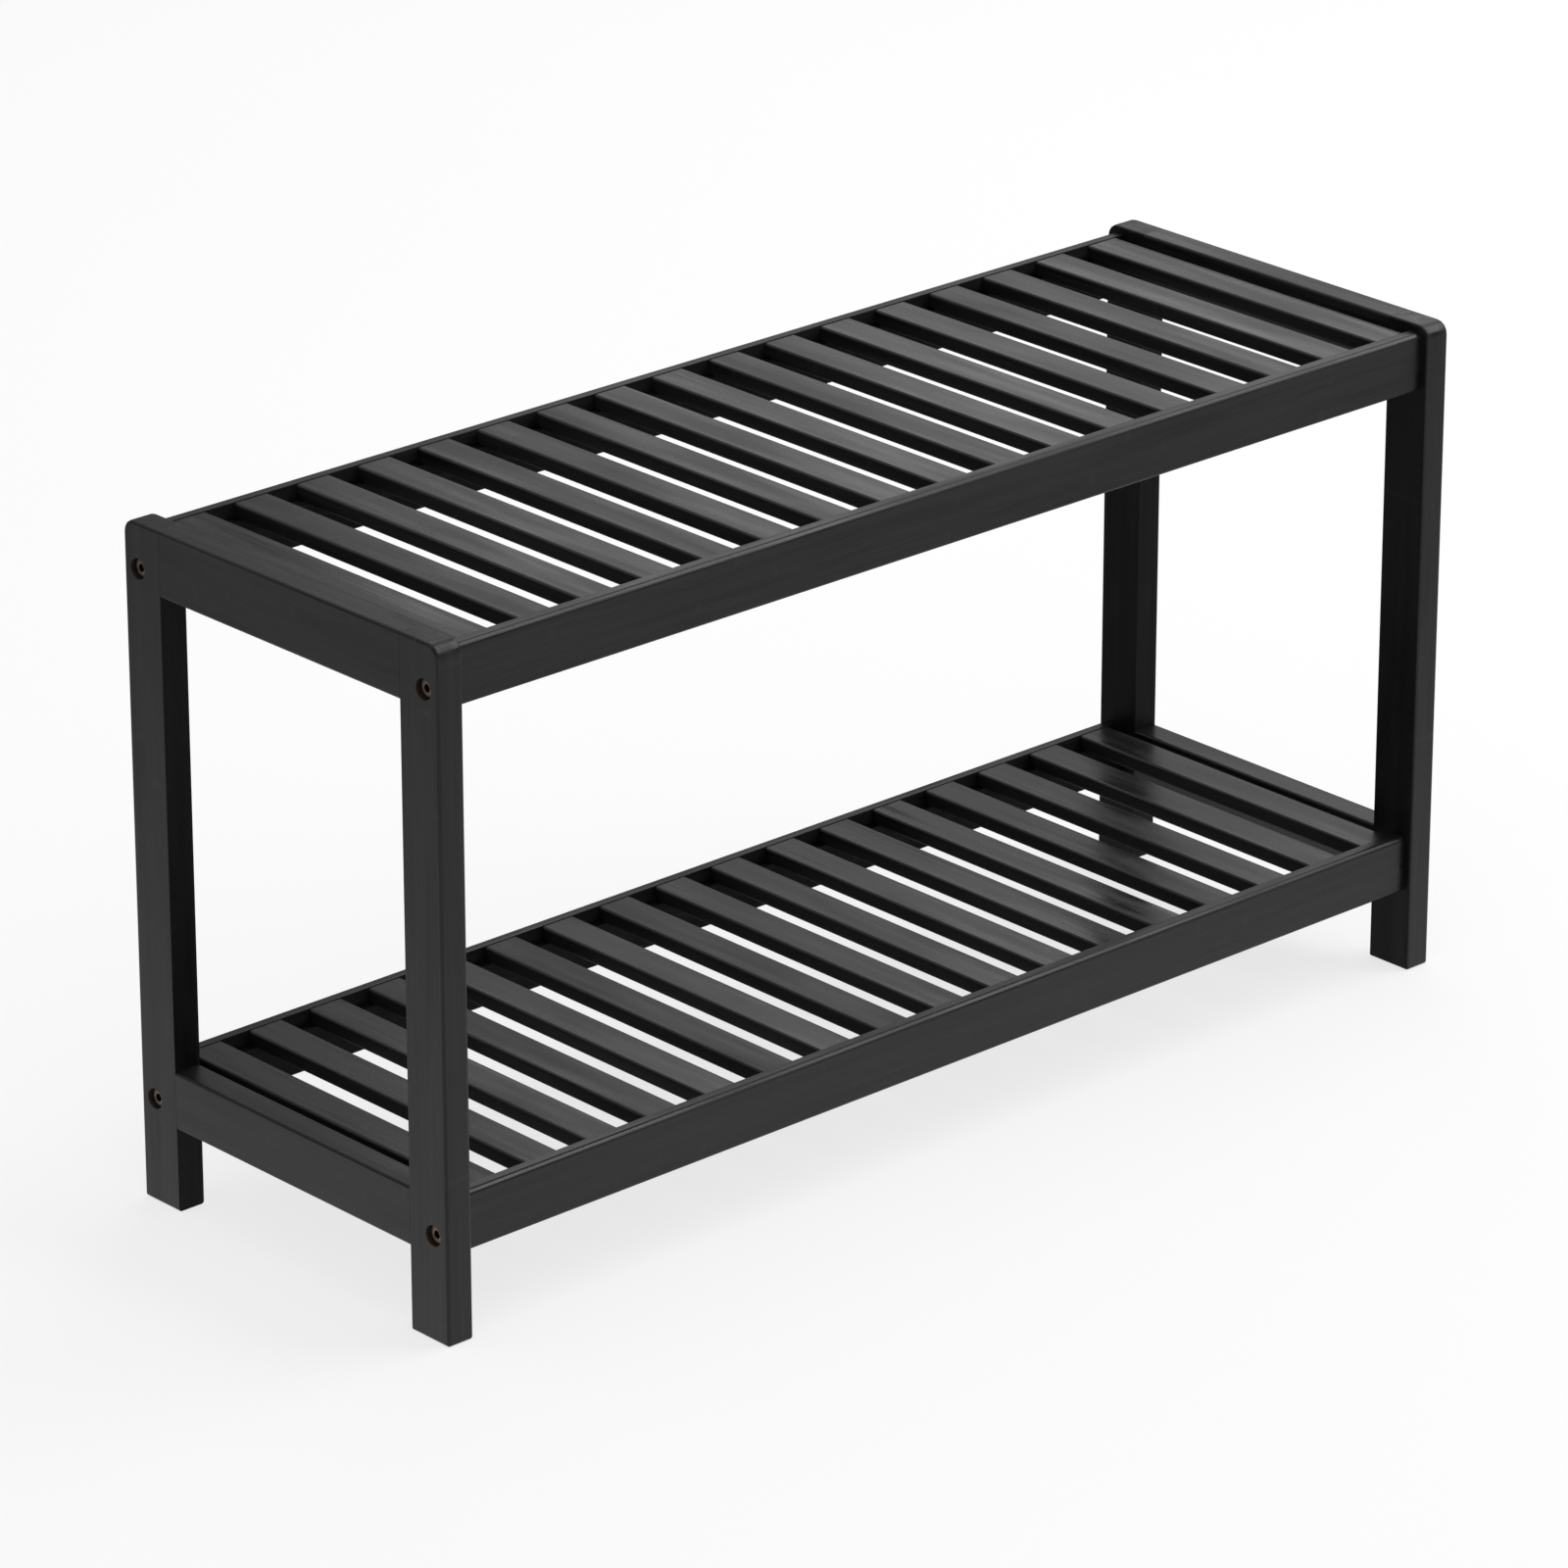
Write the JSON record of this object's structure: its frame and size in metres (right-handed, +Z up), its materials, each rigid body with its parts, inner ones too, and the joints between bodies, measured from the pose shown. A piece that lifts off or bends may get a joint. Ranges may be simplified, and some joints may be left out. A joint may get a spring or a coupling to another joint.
{
  "type": "tiered shoe rack",
  "caption": "Low tiered shoe rack of black lacquered bamboo: post-and-rail side frames carry slatted shelves held by recessed socket bolts.",
  "frame": {"origin": "on the floor, under the middle of the rack", "axes": "+X along the shelves to the right as seen from the front, +Y from the front to the back, +Z up"},
  "size_m": [0.7, 0.24, 0.37],
  "materials": {
    "frame_lacquer": "satin black lacquer on bamboo",
    "rail_lacquer": "satin black lacquer on bamboo",
    "slat_lacquer": "semi-gloss black lacquer on bamboo",
    "bolt_steel": "dark bronzed steel"
  },
  "bodies": {
    "root": {"left_front_post": "frame_lacquer", "left_rear_post": "frame_lacquer", "right_front_post": "frame_lacquer", "right_rear_post": "frame_lacquer", "left_bottom_side_rail": "frame_lacquer", "left_top_side_rail": "frame_lacquer", "right_bottom_side_rail": "frame_lacquer", "right_top_side_rail": "frame_lacquer", "bottom_shelf_front_rail": "rail_lacquer", "bottom_shelf_rear_rail": "rail_lacquer", "top_shelf_front_rail": "rail_lacquer", "top_shelf_rear_rail": "rail_lacquer", "bottom_shelf_slat_01": "slat_lacquer", "bottom_shelf_slat_02": "slat_lacquer", "bottom_shelf_slat_03": "slat_lacquer", "bottom_shelf_slat_04": "slat_lacquer", "bottom_shelf_slat_05": "slat_lacquer", "bottom_shelf_slat_06": "slat_lacquer", "bottom_shelf_slat_07": "slat_lacquer", "bottom_shelf_slat_08": "slat_lacquer", "bottom_shelf_slat_09": "slat_lacquer", "bottom_shelf_slat_10": "slat_lacquer", "bottom_shelf_slat_11": "slat_lacquer", "bottom_shelf_slat_12": "slat_lacquer", "bottom_shelf_slat_13": "slat_lacquer", "bottom_shelf_slat_14": "slat_lacquer", "bottom_shelf_slat_15": "slat_lacquer", "bottom_shelf_slat_16": "slat_lacquer", "bottom_shelf_slat_17": "slat_lacquer", "top_shelf_slat_01": "slat_lacquer", "top_shelf_slat_02": "slat_lacquer", "top_shelf_slat_03": "slat_lacquer", "top_shelf_slat_04": "slat_lacquer", "top_shelf_slat_05": "slat_lacquer", "top_shelf_slat_06": "slat_lacquer", "top_shelf_slat_07": "slat_lacquer", "top_shelf_slat_08": "slat_lacquer", "top_shelf_slat_09": "slat_lacquer", "top_shelf_slat_10": "slat_lacquer", "top_shelf_slat_11": "slat_lacquer", "top_shelf_slat_12": "slat_lacquer", "top_shelf_slat_13": "slat_lacquer", "top_shelf_slat_14": "slat_lacquer", "top_shelf_slat_15": "slat_lacquer", "top_shelf_slat_16": "slat_lacquer", "top_shelf_slat_17": "slat_lacquer", "left_front_bottom_bolt": "bolt_steel", "left_front_top_bolt": "bolt_steel", "left_rear_bottom_bolt": "bolt_steel", "left_rear_top_bolt": "bolt_steel", "right_front_bottom_bolt": "bolt_steel", "right_front_top_bolt": "bolt_steel", "right_rear_bottom_bolt": "bolt_steel", "right_rear_top_bolt": "bolt_steel"}
  },
  "joints": []
}
